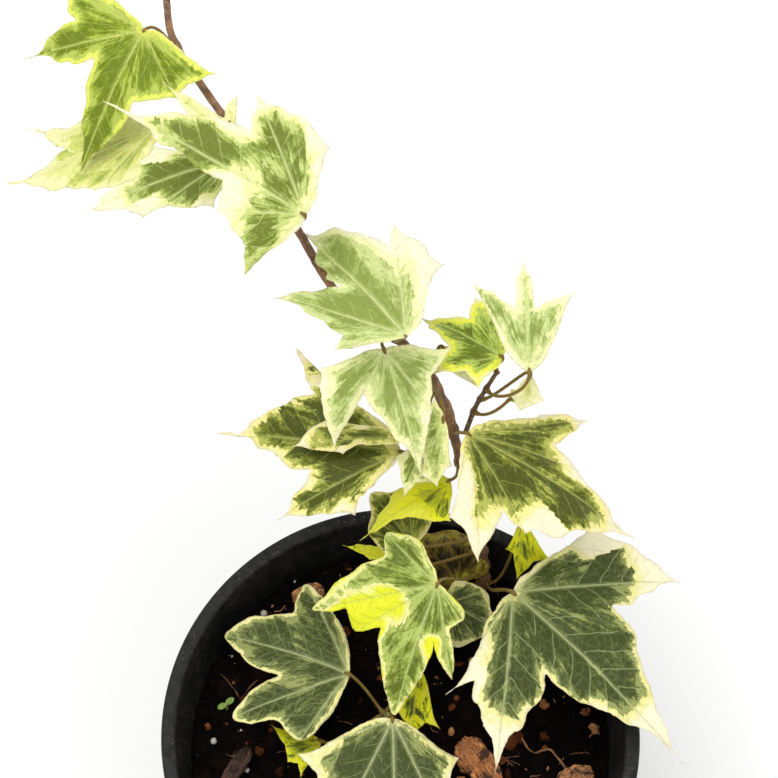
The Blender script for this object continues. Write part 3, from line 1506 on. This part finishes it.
@dataclass
class Seedling:
    """A weed seedling on the soil: a pale stalk and two round seed leaves."""

    at: tuple[float, float] = (-45.0, 9.6)
    height: float = 3.2
    leaf: float = 1.7

    def build(self, place: Frame, soil: Soil) -> bpy.types.Object:
        """Makes the seedling from a rod and two flattened lumps.

        Args:
            place: the frame that it is set in.
            soil: the soil that it stands in.

        Returns:
            The piece.
        """
        x, y = self.at
        foot = Vector((x, y, soil.surface(x, y) - 0.3))
        line = [foot + Vector((0.25 * sin(i * 0.5), 0.1 * i, self.height * i / 6)) for i in range(7)]
        points, faces, along = Rod(line, [0.28] * 7, 8).mesh()
        lump, lump_faces = soil.lump(3)
        meshes = [(points, faces, along)]
        for side in (-1, 1):
            leaf = lump * np.array((self.leaf * 1.5, self.leaf, 0.35))
            leaf = leaf + np.array((side * self.leaf * 0.7, 0, 0))
            leaf[:, 2] += 0.25 * np.abs(leaf[:, 0]) - 0.1
            leaf = leaf @ np.array(Matrix.Rotation(radians(35), 3, "Z")).T + np.array(line[-1])
            meshes.append((leaf, lump_faces, leaf - np.array(line[-1])))
        everything, all_faces, values = merged(meshes)
        piece = new_piece("seedling", everything, all_faces, place)
        store(piece, "along", values)
        finish = BarkFinish(tone(120, 156, 60), tone(150, 186, 84))
        return dress(piece, finish.material("seed leaf"), "green_stem")


# The studio


@dataclass(frozen=True)
class Lamp:
    """A square soft light that faces the plant: its place and width in metres, its watts."""

    name: str
    where: Point
    size: float
    power: float
    aim: Point = (0.0, 0.03, 0.13)

    def build(self) -> None:
        """Hangs the lamp."""
        data = bpy.data.lights.new(self.name, "AREA")
        data.size = self.size
        data.energy = self.power
        lamp = bpy.data.objects.new(self.name, data)
        lamp.location = self.where
        run = Vector(self.aim) - Vector(self.where)
        lamp.rotation_euler = run.to_track_quat("-Z", "Y").to_euler()
        bpy.context.scene.collection.objects.link(lamp)


@dataclass
class Studio:
    """The floor, the light and the camera."""

    eye: Point = (-2.88, -164.97, 612.42)  # mm, in the frame's own axes
    tilt: float = 27.14  # degrees from straight down
    lens: float = 97.3
    floor_size: float = 8.0
    sky: float = 0.73
    lamps: tuple[Lamp, ...] = (Lamp("key", (-0.35, 0.12, 1.6), 1.1, 12.8),
                               Lamp("fill", (0.75, -0.5, 0.85), 0.9, 2.4))
    nearest: float = 0.01  # m in front of the camera where things begin to show

    def build(self, place: Frame) -> None:
        """Sets the stage.

        Args:
            place: the frame that it is set in.
        """
        deselect_all()
        bpy.ops.mesh.primitive_plane_add(size=self.floor_size, location=place.origin)
        ground = bpy.context.object
        ground.name = "studio_floor"
        bpy.ops.object.transform_apply(location=True, rotation=True, scale=True)
        ground.data.materials.append(FloorFinish().material("white floor"))
        world = bpy.data.worlds.new("studio")
        world.use_nodes = True
        background = world.node_tree.nodes["Background"]
        background.inputs["Color"].default_value = (1.0, 1.0, 1.0, 1.0)
        background.inputs["Strength"].default_value = self.sky
        bpy.context.scene.world = world
        for lamp in self.lamps:
            lamp.build()
        data = bpy.data.cameras.new("view")
        data.lens = self.lens
        data.clip_start = self.nearest
        camera = bpy.data.objects.new("view", data)
        camera.location = place.vertices(np.array(self.eye))
        camera.rotation_euler = (radians(self.tilt), 0.0, 0.0)
        bpy.context.scene.collection.objects.link(camera)
        bpy.context.scene.camera = camera
        bpy.context.scene.view_settings.view_transform = "Standard"


# This plant


STEMS = (
    Stem("main_stem",
         [(21, 42, 91.6), (22, 44, 98), (21, 47, 109), (19, 53, 120), (16, 56, 131), (14, 60, 142),
          (10, 67, 154), (2, 75, 165), (-7, 80, 171), (-16, 86, 175), (-25, 100, 180),
          (-36, 118, 184), (-48, 137, 184), (-57, 154, 182), (-60, 170, 178), (-63, 189, 171),
          (-67, 203, 163)],
         1.35, 0.85, BarkFinish(), "stem_bark"),
    Stem("side_shoot", [(16, 62, 146), (18, 65, 153), (20, 66, 160), (23, 68, 167)],
         0.65, 0.5, BarkFinish(tone(78, 56, 34), tone(122, 92, 52)), "stem_bark"),
    Stem("young_shoot", [(-4, 8, 91.6), (-4, 6, 97), (-4, 4, 103), (-3, 2, 108)],
         0.8, 0.6, BarkFinish(tone(128, 118, 60), tone(150, 142, 78)), "green_stem"),
)

LEAVES = (
    # Along the runner, from its far end back to the pot.
    Leaf("runner_leaf_1", (-63, 149, 193), -122, -32, [(-96, 35), (-55, 37), (0, 43), (57, 20), (88, 24)],
         [(-73, 19), (-35, 14), (24, 18), (70, 19)], "main_stem", 12.9,
         BladeFinish(Tint.OLIVE, 1.1, 1.1, 1.3, 0.3, 1.3, spots=((0, 34, 7, 2.5), (-60, 26, 9, 1.0))),
         "leaf_mid", roll=10),
    Leaf("runner_leaf_2", (-61, 132, 176), -175, -26, [(-25, 46), (0, 46), (43, 22), (82, 16)],
         [(-6, 26), (21, 28), (62, 18)], "main_stem", 11.5,
         BladeFinish(Tint.CREAM, 1.5, 4.0, 0.8, 0.1, 1.2, specks=1.0),
         "leaf_pale", roll=10, toothed=0.3),
    Leaf("runner_leaf_3", (-40, 112, 193), -168, -16, [(-29, 21), (0, 41), (16, 26), (54, 13)],
         [(-6, 25), (6, 29), (20, 19)], "main_stem", 10.9,
         BladeFinish(Tint.MOSS, 1.6, 1.0, 1.4, 0.3, 0.66, spots=((8, 15, 8, 1.5),)),
         "leaf_dark", roll=-10),
    Leaf("runner_leaf_4", (-40, 113, 199), 140, 12, [(-57, 13), (-32, 6), (0, 22), (61, 10)],
         [(-39, 8), (-11, 9), (29, 8)], "main_stem", 10.6,
         BladeFinish(Tint.CREAM, 1.5, 3.0, 0.8, 0.1, 1.2, specks=1.0),
         "leaf_pale", toothed=0.3),
    Leaf("runner_leaf_5", (-22, 89, 204), 150, 8, [(-78, 17), (-38, 32), (0, 55), (29, 20), (79, 21)],
         [(-62, 21), (-26, 23), (8, 20), (63, 15)], "main_stem", 10.3,
         BladeFinish(Tint.MOSS, 2.5, 1.2, 1.9, 0.2, 0.78,
                     spots=((0, 30, 8, 4.0), (2, 15, 8, -3.0), (-14, 26, 5, -2.0), (72, 15, 7, 3.5),
                            (-36, 20, 9, 1.0))),
         "leaf_mid", roll=-8, stalk_lean=(0.02, 0.35)),
    Leaf("runner_leaf_6", (1, 65, 190), 125, -12, [(-54, 28), (-30, 38), (0, 45), (34, 33), (69, 17)],
         [(-47, 27), (-27, 29), (11, 21), (56, 14)], "main_stem", 7.4,
         BladeFinish(Tint.SAGE, 1.4, 1.4, 1.0, 0.2, 0.85,
                     spots=((-42, 27, 18, -3.3), (3, 30, 8, 2.2), (34, 18, 12, 1.5))),
         "leaf_pale", stalk_lean=(-0.3, 0.4), roll=10),
    Leaf("runner_leaf_7", (-4, 67, 180), -69, -36, [(-94, 16), (-45, 26), (0, 32), (21, 19), (73, 17)],
         [(-68, 20), (-47, 10), (12, 21), (43, 13)], "main_stem", 7.5,
         BladeFinish(Tint.SAGE, 1.3, 1.5, 1.2, 0.2, 0.85),
         "leaf_pale", roll=-6),
    Leaf("tip_leaf_1", (-68, 181, 182), 170, 8, [(-62, 9), (0, 17), (58, 10)],
         [(-30, 7), (28, 7)], "main_stem", 14.2,
         BladeFinish(Tint.SAGE, 1.5, 1.2, 2.0, 0.2),
         "leaf_pale"),
    Leaf("tip_leaf_2", (-59, 193, 179), 58, 12, [(-56, 8), (0, 14), (60, 8)],
         [(-28, 6), (30, 6)], "main_stem", 15.0,
         BladeFinish(Tint.BRIGHT, 1.2, 1.0, 2.0, 0.2),
         "leaf_mid"),
    Leaf("tip_leaf_3", (-70, 209, 164), 112, -10, [(-50, 5), (0, 9), (52, 5)],
         [(-25, 4), (26, 4)], "main_stem", 15.9,
         BladeFinish(Tint.YELLOW, 1.2, 1.0, 1.6, 0.2),
         "leaf_yellow"),
    # Where the stem arches over the back of the pot.
    Leaf("arch_leaf_1", (1, 53, 161), 172, -20, [(-21, 23), (0, 30), (12, 16)],
         [(-8, 27), (5, 22)], "main_stem", 6.2,
         BladeFinish(Tint.DEEP, 1.4, 1.4, 1.6, 0.2, 0.85),
         "leaf_dark", roll=10, taper=1.4),
    Leaf("arch_leaf_2", (0, 54, 152), 166, -14, [(-36, 42), (0, 50), (36, 35), (63, 19)],
         [(-25, 27), (21, 22), (48, 24)], "main_stem", 5.7,
         BladeFinish(Tint.DEEP, 1.5, 1.4, 1.7, 0.25, 0.82),
         "leaf_dark", roll=-10, taper=1.8),
    Leaf("arch_leaf_3", (10, 56, 166), -96, -38, [(-155, 6), (-16, 15), (0, 17), (15, 12)],
         [(-84, 5), (-9, 15), (7, 12)], "main_stem", 6.4,
         BladeFinish(Tint.MOSS, 1.0, 1.0, 1.2, 0.3),
         "leaf_pale"),
    Leaf("arch_leaf_4", (6, 55, 158), -114, -32, [(-37, 9), (0, 16), (27, 11)],
         [(-16, 10), (8, 11)], "main_stem", 5.9,
         BladeFinish(Tint.MOSS, 1.6, 1.2, 1.4, 0.1),
         "leaf_cream"),
    Leaf("arch_leaf_5", (16, 56, 158), -23, -24,
         [(-82, 23), (-65, 33), (-37, 28), (0, 50), (14, 31), (39, 37), (47, 24)],
         [(-74, 26), (-47, 21), (-32, 28), (8, 34), (25, 24), (43, 29)], "main_stem", 5.4,
         BladeFinish(Tint.DEEP, 1.4, 1.4, 1.5, 0.3, 0.8, spots=((-84, 14, 6, -5.0), (-82, 26, 8, -5.0))),
         "leaf_dark", roll=-12),
    Leaf("arch_leaf_6", (12, 51, 142), -155, -26, [(-47, 9), (0, 28), (23, 12), (68, 11)],
         [(-24, 12), (4, 17), (46, 11)], "main_stem", 4.6,
         BladeFinish(Tint.YELLOW, 4.6, 1.6, 1.2, 0.15, 0.5, spots=((66, 7, 5, 3.0),)),
         "leaf_yellow", roll=10),
    # On the short shoot that leaves the arch.
    Leaf("side_leaf_1", (30, 63, 176), 94, 28, [(-33, 22), (0, 28), (30, 26)],
         [(-8, 15), (9, 15)], "side_shoot", 2.2,
         BladeFinish(Tint.SAGE, 1.3, 1.4, 1.6, 0.2, 0.8),
         "leaf_pale", taper=0.5, curl=(0.0, 4.0, 2.0)),
    Leaf("side_leaf_2", (24, 70, 171), 142, -14, [(-63, 9), (-35, 23), (0, 26), (55, 17), (100, 12)],
         [(-45, 15), (-18, 14), (23, 13), (66, 10)], "side_shoot", 3.0,
         BladeFinish(Tint.BRIGHT, 1.5, 1.2, 1.2, 0.2, 0.8),
         "leaf_mid", roll=12),
    Leaf("side_leaf_3", (31, 68, 165), -109, -30, [(-29, 7), (0, 9), (47, 7)],
         [(-16, 7), (20, 7)], "side_shoot", 1.6,
         BladeFinish(Tint.CREAM, 2.0, 1.6, 1.6, 0.1),
         "leaf_pale"),
    Leaf("side_leaf_4", (10, 77, 163), -44, -20, [(-71, 6), (0, 14), (35, 6)],
         [(-22, 7), (9, 8)], "main_stem", 6.5,
         BladeFinish(Tint.CREAM, 2.5, 1.6, 1.6, 0.1),
         "leaf_cream"),
    Leaf("side_leaf_5", (26, 64, 160), 34, 5, [(-56, 3), (0, 5), (44, 3)],
         [(-22, 3), (20, 3)], "side_shoot", 0.9,
         BladeFinish(Tint.BRIGHT, 0.8, 1.0, 1.6, 0.2),
         "leaf_mid"),
    # Round the foot of the main stem.
    Leaf("crown_leaf_1", (28, 29, 123), -43, -12, [(-80, 32), (-54, 47), (0, 60), (51, 46), (86, 29)],
         [(-71, 25), (-28, 22), (38, 25), (69, 33)], "main_stem", 0.9,
         BladeFinish(Tint.GREY, 1.3, 1.2, 1.6, 0.4, 0.68, spots=((-78, 24, 8, -2.5), (86, 26, 6, -2.0))),
         "leaf_dark", taper=1.2, roll=-7, stalk_radius=0.52, stalk_lean=(0.14, 0.12)),
    Leaf("crown_leaf_2", (9, 28, 131), -111, -26,
         [(-136, 13), (-114, 19), (-59, 34), (-41, 25), (0, 35), (28, 25), (62, 11)],
         [(-125, 15), (-100, 14), (-57, 23), (-34, 17), (17, 13), (34, 11)], "main_stem", 1.4,
         BladeFinish(Tint.LIMY, 0.6, 0.8, 1.6, 0.3, 1.0,
                     spots=((-54, 12, 4, -5.0), (-50, 21, 6, -7.0), (-30, 12, 4, -3.0), (10, 15, 3, -4.0))),
         "leaf_mid", roll=6, stalk_lean=(0.10, 0.10), taper=-0.5, toothed=0.5),
    Leaf("crown_leaf_3", (3, 44, 118), 132, 24, [(-84, 8), (-34, 15), (0, 17), (36, 12), (92, 7)],
         [(-58, 9), (-16, 14), (16, 13), (62, 8)], "main_stem", 2.3,
         BladeFinish(Tint.DEEP, 0.8, 0.9, 1.2, 0.3, 1.2),
         "leaf_dark", taper=-1.0, stalk_lean=(0.12, 0.15)),
    Leaf("crown_leaf_4", (-1, 41, 112), 158, 0, [(-48, 7), (0, 15), (11, 7)],
         [(-20, 7), (4, 9)], "main_stem", 1.9,
         BladeFinish(Tint.YELLOW, 2.2, 1.4, 2.2, 0.2),
         "leaf_yellow", stalk_lean=(0.3, 0.0)),
    Leaf("crown_leaf_5", (31, 49, 120), -96, -34, [(-27, 8), (0, 15), (43, 12)],
         [(-10, 8), (22, 10)], "main_stem", 0.7,
         BladeFinish(Tint.YELLOW, 1.6, 1.6, 2.0, 0.2),
         "leaf_yellow"),
    Leaf("crown_leaf_6", (12, 32, 108), -28, -5, [(-104, 7), (-52, 12), (0, 14), (46, 11), (100, 7)],
         [(-78, 8), (-26, 12), (22, 11), (72, 8)], "main_stem", 0.2,
         BladeFinish(Tint.GREY, 0.6, 1.0, 1.0, 0.4),
         "leaf_dark", taper=-1.0),
    Leaf("withered_leaf", (15, 39, 105), 130, 4, [(-108, 9), (-46, 14), (0, 17), (46, 13), (104, 8)],
         [(-78, 9), (-22, 14), (22, 13), (76, 9)], "main_stem", 0.85,
         BladeFinish(Tint.WITHERED, 1.4, 1.4, 2.0, 0.2),
         "leaf_withered", arch=0.4, crumple=2.6, taper=-0.8),
    # On the young shoot at the front.
    Leaf("young_leaf_1", (-13, 13, 108), 158, -8, [(-45, 31), (0, 36), (46, 32), (80, 23)],
         [(-28, 22), (24, 17), (61, 22)], "young_shoot", 1.6,
         BladeFinish(Tint.GREY, 0.8, 1.0, 1.0, 0.5, 1.1),
         "leaf_dark", roll=10, taper=-1.2, toothed=0.9),
    Leaf("young_leaf_2", (-2, -1, 114), -89, -14, [(-71, 25), (-28, 33), (0, 39), (25, 33), (60, 19)],
         [(-55, 23), (-16, 25), (15, 25), (42, 20)], "young_shoot", 3.0,
         BladeFinish(Tint.GREY, 1.5, 1.4, 1.5, 0.35, 0.85),
         "leaf_dark", roll=-6),
    Leaf("young_leaf_3", (-20, -2, 100), 160, 0, [(0, 14), (53, 10), (83, 11)],
         [(27, 9), (66, 8)], "young_shoot", 1.1,
         BladeFinish(Tint.YELLOW, 0.9, 1.2, 1.8, 0.2),
         "leaf_yellow"),
    Leaf("young_leaf_4", (4, 15, 108), -93, -16, [(-28, 10), (0, 17), (24, 17)],
         [(-15, 13), (12, 14)], "young_shoot", 1.3,
         BladeFinish(Tint.YELLOW, 2.6, 1.6, 2.4, 0.15),
         "leaf_yellow"),
)

CHIPS = (
    BarkChip(1, 25, (9, 5, 3), WoodFinish()),
    BarkChip(2, -50, (13, 7, 3), WoodFinish(tone(226, 150, 88), tone(90, 46, 22))),
    BarkChip(3, 60, (12, 3.5, 2.5), WoodFinish(tone(92, 62, 46), tone(50, 34, 28))),
    BarkChip(4, 15, (8, 4, 2.5), WoodFinish()),
    BarkChip(5, -40, (9, 4, 2.5), WoodFinish(tone(120, 80, 54), tone(60, 40, 30))),
    BarkChip(6, 70, (7, 4, 2.5), WoodFinish()),
)


def main() -> None:
    """Builds every piece in order and reports it."""
    logging.basicConfig(level=logging.INFO, format="%(message)s")
    place = Frame()
    Studio().build(place)
    pot = Pot()
    pot.build(place)
    soil = Soil(pot)
    soil.ground(place)
    soil.litter(place)
    soil.perlite(place)
    soil.hairs(place)
    for chip in CHIPS:
        chip.build(place)
    Seedling().build(place, soil)
    stems = {stem.name: stem for stem in STEMS}
    for leaf in LEAVES:
        stems[leaf.stem].joints.append(leaf.joint)
    for stem in STEMS:
        stem.build(place)
    for leaf in LEAVES:
        leaf.build(place, stems)
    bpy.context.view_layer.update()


if __name__ == "__main__":
    main()
